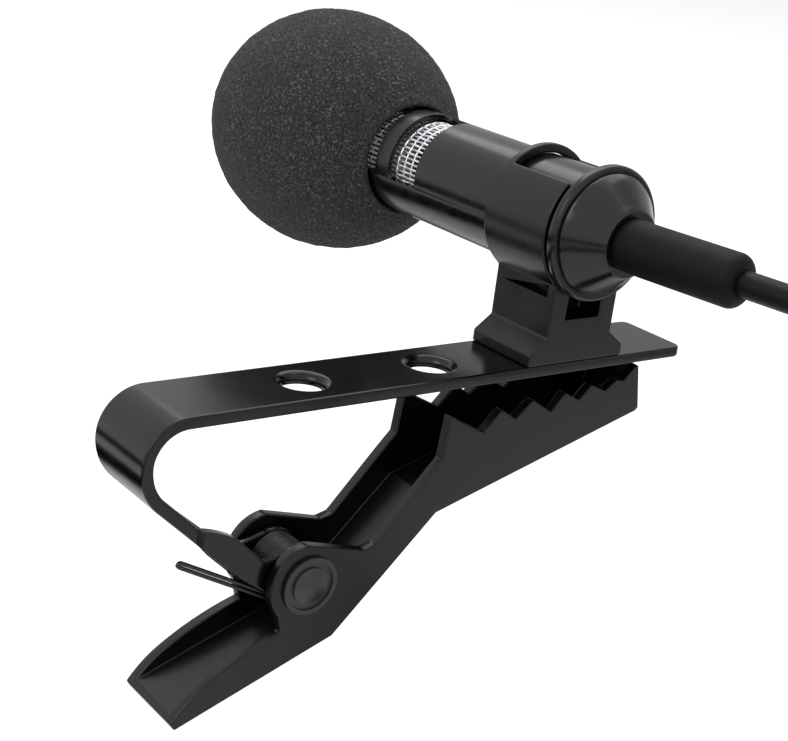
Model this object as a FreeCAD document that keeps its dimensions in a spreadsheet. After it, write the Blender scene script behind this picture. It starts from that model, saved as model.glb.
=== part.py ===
import FreeCAD, Part
import math
import os
import Sketcher

# Clip-on lapel microphone in a sprung garment clip.
# Millimetres. X runs along the clip's top plate to its tip, Y along the microphone to its foam, Z is up.
# The origin lies under the microphone's axis, on the underside of the plate, halfway across it.

os.makedirs("parts", exist_ok=True)
doc = FreeCAD.newDocument("lapel_microphone")
sheet = doc.addObject("Spreadsheet::Sheet", "sizes")

SIZES = {
    # sprung strip
    "strip_width": 6.46, "strip_gauge": 0.88, "tip_reach": 11.53, "tip_round": 0.7,
    "hole_radius": 1.5, "hole_sink": 0.4, "hole_first": 11.28, "hole_pitch": 10.86, "rivet_x": -0.42,
    "bend_x": -32.5, "bend_radius": 2.4, "lower_bend_radius": 3.2, "return_slope": 42,
    "return_wide": 5.2, "return_taper": 2.0, "return_length": 9.2, "tongue_width": 4.4,
    "ear_gauge": 0.62, "ear_radius": 2.15, "ear_rise": 0.85, "ear_drop": 0.25, "ear_reach": 14.2,
    # pivot
    "pin_x": -22.1, "pin_z": -13.02, "pin_radius": 0.9, "pin_fit": 0.05,
    "spring_radius": 1.85, "spring_wire": 0.26, "spring_upper_leg": 9.9, "spring_lower_leg": 5.0,
    "head_radius": 2.15, "head_height": 0.3, "dome_radius": 1.35, "dome_height": 0.6,
    # jaw
    "jaw_width": 6.36, "jaw_gauge": 0.88, "jaw_front_x": 7.85, "jaw_front_z": -3.88,
    "jaw_slope": 16.2, "jaw_knee_x": -11.45, "jaw_knee_slope": 45, "jaw_heel_x": -19.57,
    "tail_slope": 19.3, "tail_x": -31.9, "lobe_radius": 3.05, "tooth_pitch": 3.15, "tooth_depth": 1.6,
    "tip_gap": 0.22,
    # holder
    "barrel_radius": 4.3, "barrel_height": 10.84, "holder_fit": 0.05, "holder_wall": 0.7,
    "holder_rear": -3.15, "holder_front": 3.5, "band_length": 0.62, "mouth_half_angle": 42,
    "neck_half": 3.2, "neck_sink": 0.11, "neck_recess": 1.2, "neck_lift": 1.05,
    "foot_half": 4.7, "foot_height": 0.94, "flare_height": 1.1,
    "rivet_radius": 1.2, "rivet_head_radius": 1.9, "rivet_head_height": 0.5,
    # microphone
    "barrel_wall": 0.42, "barrel_front": 22.6, "window_rear": 13.0, "window_front": 16.5,
    "slot_rear": 18.2, "slot_front": 21.2, "window_half_angle": 60, "window_round": 0.55,
    "mesh_gauge": 0.16, "rim_radius": 5.06, "rim_gap": 0.33, "rim_length": 0.72,
    "cone_radius": 4.6, "spigot_wall": 0.4, "cone_end_radius": 2.35, "cone_length": 2.6,
    "capsule_radius": 3.0, "capsule_length": 4.2, "capsule_rear": 7.9, "capsule_wall": 0.25,
    "foam_radius": 10.28, "foam_half_length": 12.5, "foam_centre": 30.2, "foam_bore": 4.45,
    # lead
    "relief_radius": 1.94, "relief_length": 9.6, "relief_turn": 6.9, "relief_round": 1.0,
    "root_fit": 0.05,
    "cable_radius": 0.95, "tail_run": 14.0, "coil_outer": 15.6, "coil_pitch": 2.65,
    "tie_width": 4.0, "tie_gauge": 0.8,
    # plug
    "plug_radius": 1.75, "boot_length": 11.0, "boot_radius": 2.3, "shell_length": 17.0, "shell_radius": 3.6,
}
for row, (name, value) in enumerate(SIZES.items(), start=1):
    sheet.set(f"A{row}", name)
    sheet.set(f"B{row}", str(value))
    sheet.setAlias(f"B{row}", name)
doc.recompute()


class Size:
    """A length or angle that keeps the sheet formula it comes from."""

    def __init__(self, value, text):
        self.value = value
        self.text = text

    def join(self, other, sign, value):
        text = other.text if isinstance(other, Size) else repr(float(other))
        return Size(value, f"({self.text} {sign} {text})")

    def __add__(self, other):
        return self.join(other, "+", self.value + number(other))

    def __sub__(self, other):
        return self.join(other, "-", self.value - number(other))

    def __mul__(self, other):
        return self.join(other, "*", self.value * number(other))

    def __truediv__(self, other):
        return self.join(other, "/", self.value / number(other))

    def __radd__(self, other):
        return constant(other) + self

    def __rsub__(self, other):
        return constant(other) - self

    def __rmul__(self, other):
        return constant(other) * self

    def __rtruediv__(self, other):
        return constant(other) / self

    def __neg__(self):
        return self * -1


def constant(value):
    return Size(float(value), repr(float(value)))


def number(value):
    return value.value if isinstance(value, Size) else float(value)


def get(name):
    return Size(float(sheet.get(name)), f"sizes.{name}")


def sine(angle):
    return Size(math.sin(math.radians(number(angle))), f"sin({angle.text})")


def cosine(angle):
    return Size(math.cos(math.radians(number(angle))), f"cos({angle.text})")


def tangent(angle):
    return Size(math.tan(math.radians(number(angle))), f"tan({angle.text})")


def bind(item, prop, size):
    """Sets a property from a size and keeps it tied to the sheet."""
    if isinstance(size, Size) and "sizes." in size.text:
        item.setExpression(prop, size.text)


# Helpers that draw sketches and features

def new_body(name):
    body = doc.addObject("PartDesign::Body", name)
    body.Label = name
    return body


def origin_plane(body, plane):
    for feature in body.Origin.OriginFeatures:
        if feature.Role == plane:
            return feature
    raise ValueError(plane)


def new_sketch(body, name, plane, offset=0):
    sketch = body.newObject("Sketcher::SketchObject", name)
    sketch.AttachmentSupport = [(origin_plane(body, plane), "")]
    sketch.MapMode = "FlatFace"
    sketch.AttachmentOffset = FreeCAD.Placement(FreeCAD.Vector(0, 0, number(offset)), FreeCAD.Rotation())
    bind(sketch, "AttachmentOffset.Base.z", offset)
    return sketch


def pin_point(sketch, geometry, end, point):
    """Holds one end of a sketch line at a point given by two sizes."""
    for kind, value in (("DistanceX", point[0]), ("DistanceY", point[1])):
        index = sketch.addConstraint(Sketcher.Constraint(kind, -1, 1, geometry, end, number(value)))
        bind(sketch, f"Constraints[{index}]", value)


def vector2(point):
    return FreeCAD.Vector(number(point[0]), number(point[1]), 0)


def arc_through(start, middle, stop):
    """Arc for a sketch, drawn against the clock, and whether it was turned round for that."""
    circle = Part.Arc(start, middle, stop).toShape().Curve
    centre = circle.Center
    rays = [point - centre for point in (start, middle, stop)]
    angles = [math.atan2(ray.y, ray.x) % math.tau for ray in rays]
    forward = (angles[1] - angles[0]) % math.tau < (angles[2] - angles[0]) % math.tau
    first, last = (angles[0], angles[2]) if forward else (angles[2], angles[0])
    if last < first:
        last += math.tau
    plain = Part.Circle(centre, FreeCAD.Vector(0, 0, 1), circle.Radius)
    return Part.ArcOfCircle(plain, first, last), forward


def bowed(corner, stop, radius):
    """Corner that leads to the next one by an arc bulging to the left of the way there."""
    start = vector2(corner)
    run = vector2(stop) - start
    bulge = number(radius) - math.sqrt(number(radius) ** 2 - run.Length ** 2 / 4)
    middle = start + run * 0.5 + FreeCAD.Vector(-run.y, run.x, 0).normalize() * bulge
    return corner + (radius, (constant(middle.x), constant(middle.y)))


def draw_outline(sketch, corners):
    """Closed outline. A corner is (x, y), or (x, y, radius, middle) where an arc leads to the next corner."""
    edges = []
    for index, corner in enumerate(corners):
        start = vector2(corner)
        stop = vector2(corners[(index + 1) % len(corners)])
        if len(corner) > 2:
            arc, forward = arc_through(start, vector2(corner[3]), stop)
            edges.append((sketch.addGeometry(arc), 1 if forward else 2))
        else:
            edges.append((sketch.addGeometry(Part.LineSegment(start, stop)), 1))
    for index, corner in enumerate(corners):
        edge, first = edges[index]
        following, next_first = edges[(index + 1) % len(corners)]
        sketch.addConstraint(Sketcher.Constraint("Coincident", edge, 3 - first, following, next_first))
        pin_point(sketch, edge, first, corner)
        if len(corner) > 2:
            row = sketch.addConstraint(Sketcher.Constraint("Radius", edge, number(corner[2])))
            bind(sketch, f"Constraints[{row}]", corner[2])
    return sketch


def draw_circle(sketch, centre, radius):
    shape = Part.Circle(vector2(centre), FreeCAD.Vector(0, 0, 1), number(radius))
    circle = sketch.addGeometry(shape)
    pin_point(sketch, circle, 3, centre)
    row = sketch.addConstraint(Sketcher.Constraint("Radius", circle, number(radius)))
    bind(sketch, f"Constraints[{row}]", radius)


def rectangle(left, bottom, right, top):
    return [(left, bottom), (right, bottom), (right, top), (left, top)]


def add_pad(body, sketch, length, both_ways=False):
    pad = body.newObject("PartDesign::Pad", sketch.Name + "_pad")
    pad.Profile = sketch
    pad.Length = number(length)
    bind(pad, "Length", length)
    pad.Midplane = both_ways
    sketch.Visibility = False
    body.Tip = pad
    doc.recompute()
    return pad


def add_pocket(body, sketch, length, both_ways=True, other_way=False):
    pocket = body.newObject("PartDesign::Pocket", sketch.Name + "_pocket")
    pocket.Profile = sketch
    pocket.Length = number(length)
    bind(pocket, "Length", length)
    pocket.Midplane = both_ways
    pocket.Reversed = other_way
    body.Tip = pocket
    doc.recompute()
    return pocket


def turned(name, corners, height):
    """Solid of revolution about the microphone's axis; corners are (radius, y) and may lead into an arc."""
    body = new_body(name)
    sketch = new_sketch(body, name + "_profile", "YZ_Plane")
    outline = []
    for corner in corners:
        place_in_sketch = (corner[1], height + corner[0])
        if len(corner) > 2:
            middle = corner[3]
            place_in_sketch += (corner[2], (middle[1], height + middle[0]))
        outline.append(place_in_sketch)
    draw_outline(sketch, outline)
    line = sketch.addGeometry(Part.LineSegment(FreeCAD.Vector(0, number(height), 0),
                                               FreeCAD.Vector(1, number(height), 0)), True)
    pin_point(sketch, line, 1, (constant(0), height))
    pin_point(sketch, line, 2, (constant(1), height))
    turn = body.newObject("PartDesign::Revolution", name + "_turn")
    turn.Profile = sketch
    turn.ReferenceAxis = (sketch, ["Axis0"])
    turn.Angle = 360
    body.Tip = turn
    doc.recompute()
    return body


def primitive(kind, name, **values):
    item = doc.addObject(kind, name)
    item.Label = name
    for prop, value in values.items():
        setattr(item, prop, number(value))
        bind(item, prop, value)
    return item


def place(item, x, y, z, axis=None, angle=0):
    rotation = FreeCAD.Rotation(FreeCAD.Vector(*axis), angle) if axis else FreeCAD.Rotation()
    item.Placement = FreeCAD.Placement(FreeCAD.Vector(number(x), number(y), number(z)), rotation)
    for letter, value in zip("xyz", (x, y, z)):
        bind(item, f"Placement.Base.{letter}", value)
    return item


def along_y(name, radius, start, length, height=None, x=0):
    """Round bar along Y from start; height is its axis above the origin."""
    bar = primitive("Part::Cylinder", name, Radius=radius, Height=length)
    return place(bar, x, start, get("barrel_height") if height is None else height, (1, 0, 0), -90)


def cut(name, base, tool):
    result = doc.addObject("Part::Cut", name)
    result.Label = name
    result.Base = base
    result.Tool = tool
    return result


def joined(name, shapes):
    result = doc.addObject("Part::MultiFuse", name)
    result.Label = name
    result.Shapes = shapes
    return result


def ring_along_y(name, outer, inner, start, length, height=None, x=0):
    """Plain tube along Y."""
    solid = along_y(name + "_outer", outer, start, length, height, x)
    bore = along_y(name + "_bore", inner, start, length, height, x)
    return cut(name, solid, bore)


axis_z = get("barrel_height")
gauge = get("strip_gauge")
pin_x = get("pin_x")
pin_z = get("pin_z")


# Sprung strip: flat plate, round bend, sloping return and two ears about the pivot pin

def return_point(along, out):
    """Point beside the sloping return: along it from its start, and outwards from its inner face."""
    slope = get("return_slope")
    start_x = get("bend_x") - get("bend_radius") + get("lower_bend_radius") * (1 - sine(slope))
    start_z = -get("bend_radius") - get("lower_bend_radius") * cosine(slope)
    return (start_x + along * cosine(slope) - out * sine(slope),
            start_z - along * sine(slope) - out * cosine(slope))


def bend_point(centre_x, radius, turn):
    """Point on a bend, turn degrees on from straight up, against the clock."""
    angle = Size(90 + turn, repr(90.0 + turn))
    return (centre_x + radius * cosine(angle), -get("bend_radius") + radius * sine(angle))


def strip_outline(outer_end):
    inner_bend = get("bend_radius")
    lower = get("lower_bend_radius")
    lower_x = get("bend_x") - inner_bend + lower
    half_turn = (90 - number(get("return_slope"))) / 2
    outer_start = return_point(constant(0), gauge)
    left_z = -inner_bend
    return [
        (get("tip_reach"), constant(0)),
        (get("tip_reach"), gauge),
        (get("bend_x"), gauge, inner_bend + gauge, bend_point(get("bend_x"), inner_bend + gauge, 45)),
        (get("bend_x") - inner_bend - gauge, left_z, lower + gauge,
         bend_point(lower_x, lower + gauge, 90 + half_turn)),
        outer_start,
        return_point(outer_end, gauge),
        return_point(outer_end, constant(0)),
        return_point(constant(0), constant(0)) + (lower, bend_point(lower_x, lower, 90 + half_turn)),
        (get("bend_x") - inner_bend, left_z, inner_bend, bend_point(get("bend_x"), inner_bend, 45)),
        (get("bend_x"), constant(0)),
    ]


def ear_outline(near):
    """Side of an ear from the return to its eye: it rises off the inner face and hangs under the outer."""
    rise = get("ear_rise")
    reach = get("ear_reach")
    low = gauge + get("ear_drop") * 0.8
    first_top = return_point(near + 2.8, -rise)
    low_front = return_point(reach - 4.2, low)
    low_rear = return_point(near + 1.4, gauge)
    return [
        bowed(return_point(near, constant(0)), first_top, constant(9)),
        first_top,
        return_point(reach - 3.6, -rise),
        return_point(reach - 1.8, -rise * 3.35),
        return_point(reach, -get("ear_radius") * 0.8),
        return_point(reach - 0.3, get("ear_radius") * 0.18),
        bowed(low_front, low_rear, constant(7)),
        low_rear,
        return_point(near, gauge),
    ]


def make_strip():
    body = new_body("spring_strip")
    side = new_sketch(body, "strip_side", "XZ_Plane")
    draw_outline(side, strip_outline(get("return_wide")))
    add_pad(body, side, get("strip_width"), True)
    half = get("strip_width") / 2
    narrow = get("tongue_width") / 2
    taper_from = return_point(get("return_wide") - get("return_taper"), constant(0))
    taper_to = return_point(get("return_wide") - 0.2, constant(0))
    for side_name, sign in (("near", -1), ("far", 1)):
        taper = new_sketch(body, f"strip_taper_{side_name}", "XY_Plane", taper_from[1] + get("strip_gauge"))
        corners = [(taper_from[0], half), (taper_to[0], narrow), (taper_to[0] + 1, narrow),
                   (taper_to[0] + 1, half + 1), (taper_from[0], half + 1)]
        draw_outline(taper, [(x, y * sign) for x, y in corners])
        add_pocket(body, taper, get("return_length"), False)
    tongue = new_sketch(body, "strip_tongue", "XZ_Plane")
    near = get("return_wide") - 0.6
    far = get("return_length")
    draw_outline(tongue, [return_point(near, constant(0)), return_point(far, constant(0)),
                          return_point(far, gauge), return_point(near, gauge)])
    add_pad(body, tongue, get("tongue_width"), True)
    for side_name, offset in (("near", get("tongue_width") / 2 - get("ear_gauge")),
                              ("far", -get("tongue_width") / 2)):
        arm = new_sketch(body, f"ear_arm_{side_name}", "XZ_Plane", offset)
        draw_outline(arm, ear_outline(near))
        add_pad(body, arm, get("ear_gauge"))
        eye = new_sketch(body, f"ear_eye_{side_name}", "XZ_Plane", offset)
        draw_circle(eye, (pin_x, pin_z), get("ear_radius"))
        add_pad(body, eye, get("ear_gauge"))
    bore = new_sketch(body, "ear_bore", "XZ_Plane")
    draw_circle(bore, (pin_x, pin_z), get("pin_radius") + get("pin_fit"))
    add_pocket(body, bore, get("strip_width") * 2)
    holes = new_sketch(body, "strip_holes", "XY_Plane")
    for place_x in (-get("hole_first"), -get("hole_first") - get("hole_pitch")):
        draw_circle(holes, (place_x, constant(0)), get("hole_radius"))
    draw_circle(holes, (get("rivet_x"), constant(0)), get("rivet_radius") + get("pin_fit"))
    add_pocket(body, holes, gauge * 4)
    sink_holes(body)
    round_tip(body)
    return body


def upright_edges(shape, test):
    """Names of straight edges that meet a test on their two ends."""
    names = []
    for index, edge in enumerate(shape.Edges, start=1):
        ends = [vertex.Point for vertex in edge.Vertexes]
        if len(ends) == 2 and edge.Curve.TypeId == "Part::GeomLine" and test(*ends):
            names.append(f"Edge{index}")
    return names


def add_fillet(body, name, edges, radius):
    tip = body.Tip
    fillet = body.newObject("PartDesign::Fillet", name)
    fillet.Base = (tip, edges)
    fillet.Radius = number(radius)
    bind(fillet, "Radius", radius)
    body.Tip = fillet
    doc.recompute()
    return fillet


def sink_holes(body):
    """Broken upper edge about each of the two plate holes."""
    names = []
    for index, edge in enumerate(body.Tip.Shape.Edges, start=1):
        if edge.Curve.TypeId == "Part::GeomCircle":
            on_top = abs(edge.Curve.Center.z - number(gauge)) < 0.01
            if on_top and abs(edge.Curve.Radius - number(get("hole_radius"))) < 0.01:
                names.append(f"Edge{index}")
    tip = body.Tip
    chamfer = body.newObject("PartDesign::Chamfer", "hole_sinks")
    chamfer.Base = (tip, names)
    chamfer.Size = number(get("hole_sink"))
    bind(chamfer, "Size", get("hole_sink"))
    body.Tip = chamfer
    doc.recompute()


def round_tip(body):
    reach = number(get("tip_reach"))

    def at_tip(first, second):
        upright = abs(first.z - second.z) > 0.5 and abs(first.x - second.x) < 0.01
        return upright and abs(first.x - reach) < 0.01
    add_fillet(body, "tip_rounds", upright_edges(body.Tip.Shape, at_tip), get("tip_round"))


# Lower jaw: stamped channel with toothed side walls, a waisted neck, pivot lobes and a thumb tail

def jaw_floor():
    """Underside of the jaw from its front to its tail, each corner with the lift of the floor above it."""
    front = (get("jaw_front_x"), get("jaw_front_z"))
    knee = (get("jaw_knee_x"), front[1] - (front[0] - get("jaw_knee_x")) * tangent(get("jaw_slope")))
    heel = (get("jaw_heel_x"), knee[1] - (knee[0] - get("jaw_heel_x")) * tangent(get("jaw_knee_slope")))
    tail = (get("tail_x"), heel[1] - (heel[0] - get("tail_x")) * tangent(get("tail_slope")))
    return front, knee, heel, tail


def jaw_teeth():
    """Corners of the teeth from the tip back to the throat. The rows hold shares of the mean pitch and depth:
    steep run, drop, gentle run, rise."""
    rows = (
        (0.38, 0.75, 0.22, 0.13), (0.35, 0.5, 0.51, 0.44), (0.35, 0.69, 0.48, 0.5),
        (0.38, 0.87, 0.63, 0.75), (0.48, 0.81, 0.46, 0.57), (0.48, 0.97, 1.05, 1.04),
    )
    pitch = get("tooth_pitch")
    depth = get("tooth_depth")
    x = get("jaw_front_x") - 0.95
    z = get("tip_gap") * -1
    corners = [(x + 0.2, z - 0.1), (x, z)]
    for steep, drop, gentle, rise in rows:
        x = x - steep * pitch
        z = z - drop * depth
        corners.append((x, z))
        x = x - gentle * pitch
        z = z + rise * depth
        corners.append((x, z))
    return corners


def jaw_outline():
    front, knee, heel, tail = jaw_floor()
    lobe = get("lobe_radius")
    outline = [front, (get("jaw_front_x") - 0.3, get("jaw_front_z") - 0.25)]
    outline += [knee, heel, tail]
    low_end = (tail[0] - 0.35, tail[1] + 0.55)
    shoulder = (get("tail_x") + 2.15, tail[1] + 2.92)
    throat = (pin_x - 1.9, pin_z - 3.4)
    outline += [
        bowed(low_end, shoulder, constant(8.7)),
        bowed(shoulder, throat, constant(22)),
        throat,
        (pin_x - lobe * 0.75, pin_z - lobe * 0.66, lobe, (pin_x - lobe * 0.94, pin_z + lobe * 0.34)),
        (pin_x - lobe * 0.1, pin_z + lobe * 0.995),
        (get("jaw_knee_x") - 6.2, pin_z + 1.75),
        (get("jaw_knee_x") - 5.2, pin_z + 2.0),
        (get("jaw_knee_x") - 1.3, get("jaw_front_z") - 2.75),
        (get("jaw_knee_x") - 0.15, get("jaw_front_z") - 1.5),
    ]
    outline += reversed(jaw_teeth())
    return outline


def jaw_inside():
    """Hollow of the channel: everything between the side walls and behind the front wall, above the floor."""
    front, knee, heel, tail = jaw_floor()
    lift = get("jaw_gauge")
    above = constant(6)
    return [
        (front[0] - lift, front[1] - lift * tangent(get("jaw_slope")) + lift / cosine(get("jaw_slope"))),
        (front[0] - lift, above),
        (tail[0] - 4, above),
        (tail[0] - 4, tail[1] - 4 * tangent(get("tail_slope")) + lift / cosine(get("tail_slope"))),
        (heel[0] - 0.3, heel[1] - 0.1 + lift * 1.12),
        (knee[0] - 0.25, knee[1] - 0.08 + lift * 1.12),
    ]


def make_jaw():
    body = new_body("lower_jaw")
    side = new_sketch(body, "jaw_side", "XZ_Plane")
    draw_outline(side, jaw_outline())
    add_pad(body, side, get("jaw_width"), True)
    hollow = new_sketch(body, "jaw_hollow", "XZ_Plane")
    draw_outline(hollow, jaw_inside())
    add_pocket(body, hollow, get("jaw_width") - get("jaw_gauge") * 2)
    bore = new_sketch(body, "jaw_bore", "XZ_Plane")
    draw_circle(bore, (pin_x, pin_z), get("pin_radius"))
    add_pocket(body, bore, get("jaw_width") * 2)
    return body


def make_pin():
    """Pivot pin: plain shaft, ringed and domed head on the near wall, flat upset on the far wall."""
    wall = get("jaw_width") / 2
    shaft = along_y("pin_shaft", get("pin_radius"), -wall, wall * 2, pin_z, pin_x)
    head = along_y("pin_head", get("head_radius"), -wall - get("head_height"), get("head_height"), pin_z, pin_x)
    groove_start = -wall - get("head_height")
    groove = ring_along_y("pin_groove", get("head_radius") - 0.35, get("dome_radius") + 0.05,
                          groove_start, get("head_height") * 0.6, pin_z, pin_x)
    ringed = cut("pin_ringed_head", head, groove)
    rise = get("dome_height") - get("head_height")
    ball_radius = (get("dome_radius") * get("dome_radius") + rise * rise) / (rise * 2)
    ball = primitive("Part::Sphere", "pin_dome_ball", Radius=ball_radius)
    place(ball, pin_x, -wall - get("dome_height") + ball_radius, pin_z)
    dome_bar = along_y("pin_dome_bar", get("dome_radius"), -wall - get("dome_height"), get("dome_height"), pin_z, pin_x)
    dome = doc.addObject("Part::Common", "pin_dome")
    dome.Base = ball
    dome.Tool = dome_bar
    upset = along_y("pin_upset", get("dome_radius"), wall, get("head_height"), pin_z, pin_x)
    return joined("pivot_pin", [shaft, ringed, dome, upset])


def make_spring():
    """Torsion spring about the pin, one wire: lower leg, turns from the far to the near ear, upper leg."""
    radius = number(get("spring_radius"))
    wire_radius = number(get("spring_wire")) / 2
    half = number(get("tongue_width") / 2 - get("ear_gauge")) - wire_radius - 0.06
    ease = 0.25
    start_angle = 180
    stop_angle = 180 + 62
    turns = (start_angle - stop_angle + 4 * 360) / 360
    centre = FreeCAD.Vector(number(pin_x), 0, number(pin_z))

    def eased(count):
        """Share of the way across, slow in the first and last quarter turn so that the legs leave square."""
        if count < ease:
            return max(count, 0) ** 2 / (2 * ease)
        if count > turns - ease:
            return turns - ease - max(turns - count, 0) ** 2 / (2 * ease)
        return count - ease / 2

    def place_at(count):
        angle = math.radians(start_angle - 360 * count)
        along = half - 2 * half * eased(count) / (turns - ease)
        return centre + FreeCAD.Vector(radius * math.cos(angle), along, radius * math.sin(angle))
    edges = winding(place_at, turns, round(turns * 4))
    wound = Part.Wire([edge.toShape() for edge in edges])
    first = wound.Edges[0]
    last = wound.Edges[-1]
    begin = first.valueAt(first.FirstParameter)
    end = last.valueAt(last.LastParameter)
    lower = begin - first.tangentAt(first.FirstParameter) * number(get("spring_lower_leg"))
    upper = end + last.tangentAt(last.LastParameter) * number(get("spring_upper_leg"))
    edges = [Part.LineSegment(lower, begin)] + edges + [Part.LineSegment(end, upper)]
    sweep("torsion_spring", edges, wire_radius)
    print_least_gap("torsion_spring turns", wound, wire_radius * 2, radius * 3)


# Holder: foot and neck on the plate, open ring about the barrel with a closed band in front

def make_holder():
    body = new_body("mic_holder")
    base = gauge
    outer = get("barrel_radius") + get("holder_fit") + get("holder_wall")
    front = get("strip_width") / 2
    foot_top = base + get("foot_height")
    flare_top = foot_top + get("flare_height")
    foot = get("foot_half")
    neck = get("neck_half")
    neck_top = axis_z - outer + get("neck_sink")
    block = new_sketch(body, "holder_block", "XZ_Plane")
    draw_outline(block, [
        (-foot, base), (foot, base),
        (foot, foot_top), (neck, flare_top),
        (neck, neck_top), (-neck, neck_top),
        (-neck, flare_top), (-foot, foot_top),
    ])
    add_pad(body, block, get("strip_width"), True)
    ring = new_sketch(body, "holder_ring", "XZ_Plane", -get("holder_front"))
    draw_circle(ring, (constant(0), axis_z), outer)
    add_pad(body, ring, get("holder_front") - get("holder_rear"))
    wall = get("holder_wall")
    top = neck_top + get("neck_lift")
    web = new_sketch(body, "holder_web", "XZ_Plane", front - wall)
    draw_outline(web, rectangle(-neck, neck_top - 0.5, neck, top))
    add_pad(body, web, wall)
    core = new_sketch(body, "holder_core", "YZ_Plane")
    draw_outline(core, rectangle(-front, neck_top - 0.5, front, top))
    add_pad(body, core, (neck - get("neck_recess")) * 2, True)
    gusset = new_sketch(body, "holder_gusset", "YZ_Plane")
    draw_outline(gusset, [(front, neck_top - 0.5), (front, top), (-front, top),
                          (front - wall, neck_top), (front - wall, neck_top - 0.5)])
    add_pad(body, gusset, neck * 2, True)
    bore = new_sketch(body, "holder_bore", "XZ_Plane")
    draw_circle(bore, (constant(0), axis_z), get("barrel_radius") + get("holder_fit"))
    add_pocket(body, bore, constant(40))
    mouth = new_sketch(body, "holder_mouth", "XZ_Plane", -get("holder_front") + get("band_length"))
    reach = constant(7)
    slant = reach * tangent(get("mouth_half_angle"))
    draw_outline(mouth, [(constant(0), axis_z), (slant, axis_z + reach), (-slant, axis_z + reach)])
    add_pocket(body, mouth, constant(12), False, True)
    window = new_sketch(body, "holder_window", "XZ_Plane", front + 1.0)
    draw_outline(window, rectangle(constant(-1.7), neck_top - 1.67, constant(1.7), axis_z - 4.4))
    add_pocket(body, window, constant(3.2), False, False)
    bore_foot = new_sketch(body, "holder_rivet_bore", "XY_Plane")
    draw_circle(bore_foot, (get("rivet_x"), constant(0)), get("rivet_radius"))
    add_pocket(body, bore_foot, base * 2 + 3.6)
    return body


def make_holder_rivet():
    shaft = primitive("Part::Cylinder", "rivet_shaft", Radius=get("rivet_radius"), Height=gauge + 1.8)
    place(shaft, get("rivet_x"), 0, 0)
    height = get("rivet_head_height")
    head = primitive("Part::Cylinder", "rivet_head", Radius=get("rivet_head_radius"), Height=height)
    place(head, get("rivet_x"), 0, -height)
    return joined("holder_rivet", [shaft, head])


# Microphone: barrel with two rows of windows, mesh, capsule and its parts, rear ring and cone

def make_barrel():
    body = turned("mic_barrel", [
        (get("barrel_radius") - get("barrel_wall"), rim_front()),
        (get("barrel_radius") - get("barrel_wall"), get("barrel_front")),
        (get("barrel_radius"), get("barrel_front")),
        (get("barrel_radius"), rim_front()),
    ], axis_z)
    for row, (rear, front) in enumerate((("window_rear", "window_front"), ("slot_rear", "slot_front"))):
        for side, middle in (("upper", -41), ("lower", 139)):
            wedge = new_sketch(body, f"window_{row}_{side}", "XZ_Plane", -get(front))
            half = get("window_half_angle")
            reach = constant(12)
            points = [(constant(0), axis_z)]
            for turn in (-1, -0.34, 0.34, 1):
                angle = middle + half * turn
                points.append((reach * sine(angle), axis_z + reach * cosine(angle)))
            draw_outline(wedge, points)
            add_pocket(body, wedge, get(front) - get(rear), False, True)

    def at_window(first, second):
        reaches = [math.hypot(point.x, point.z - number(axis_z)) for point in (first, second)]
        through = abs(abs(reaches[0] - reaches[1]) - number(get("barrel_wall"))) < 0.01
        return through and abs(first.y - second.y) < 0.01
    add_fillet(body, "window_rounds", upright_edges(body.Tip.Shape, at_window), get("window_round"))
    return body


def rim_front():
    return get("holder_rear") - get("rim_gap")


def ring_bore():
    return get("barrel_radius") - get("barrel_wall") - get("spigot_wall")


def make_rear_ring():
    """Flanged ring that closes the barrel behind the holder."""
    front = rim_front()
    outer = get("rim_radius")
    rear = front - get("rim_length")
    bore = ring_bore()
    spigot = get("barrel_radius") - get("barrel_wall")
    return turned("rear_ring", [
        (bore, rear), (outer - 0.2, rear), (outer, rear + 0.2), (outer, front),
        (spigot, front), (spigot, front + 2.2), (bore, front + 2.2),
    ], axis_z)


def make_rear_cone():
    """Glossy cone between the flange and the strain relief."""
    face = rim_front() - get("rim_length")
    base = get("cone_radius")
    end = get("cone_end_radius")
    length = get("cone_length")
    bore = get("relief_radius") - 0.3
    return turned("rear_cone", [
        (bore, face + 0.7), (ring_bore(), face + 0.7), (ring_bore(), face), (base, face),
        (base - 0.12, face - length * 0.1), (end + 0.6, face - length * 0.76),
        (end + 0.1, face - length), (bore, face - length),
    ], axis_z)


def make_mesh_sleeve():
    outer = get("barrel_radius") - get("barrel_wall")
    inner = outer - get("mesh_gauge")
    start = get("window_rear") - 0.7
    return ring_along_y("mesh_sleeve", outer, inner, start, get("barrel_front") - 0.5 - start)


def make_front_grille():
    return along_y("front_grille", get("barrel_radius") - get("barrel_wall"), get("barrel_front") - 0.5, constant(0.35))


def make_capsule():
    rear = get("capsule_rear")
    radius = get("capsule_radius")
    wall = get("capsule_wall")
    length = get("capsule_length")
    front = rear + length
    inner = radius - wall
    turned("capsule_can", [
        (constant(1.0), front), (radius, front), (radius, rear), (inner - 0.35, rear), (inner - 0.35, rear + 0.2),
        (inner, rear + 0.2), (inner, front - wall), (constant(1.0), front - wall),
    ], axis_z)
    ring_along_y("diaphragm_ring", inner, inner - 0.4, front - wall - 0.35, constant(0.35))
    along_y("capsule_diaphragm", inner, front - wall - 0.41, constant(0.06))
    ring_along_y("diaphragm_spacer", inner, inner - 0.4, front - wall - 0.47, constant(0.06))
    ring_along_y("capsule_backplate", inner, constant(0.25), front - wall - 0.87, constant(0.4))
    ring_along_y("backplate_cup", inner, inner - 0.4, rear + 0.8, length - wall - 0.87 - 0.8)
    along_y("capsule_board", inner, rear + 0.2, constant(0.6))
    outer = get("barrel_radius") - get("barrel_wall")
    ring_along_y("capsule_holder", outer, radius, rear + 0.6, length - 1.2)


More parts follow.
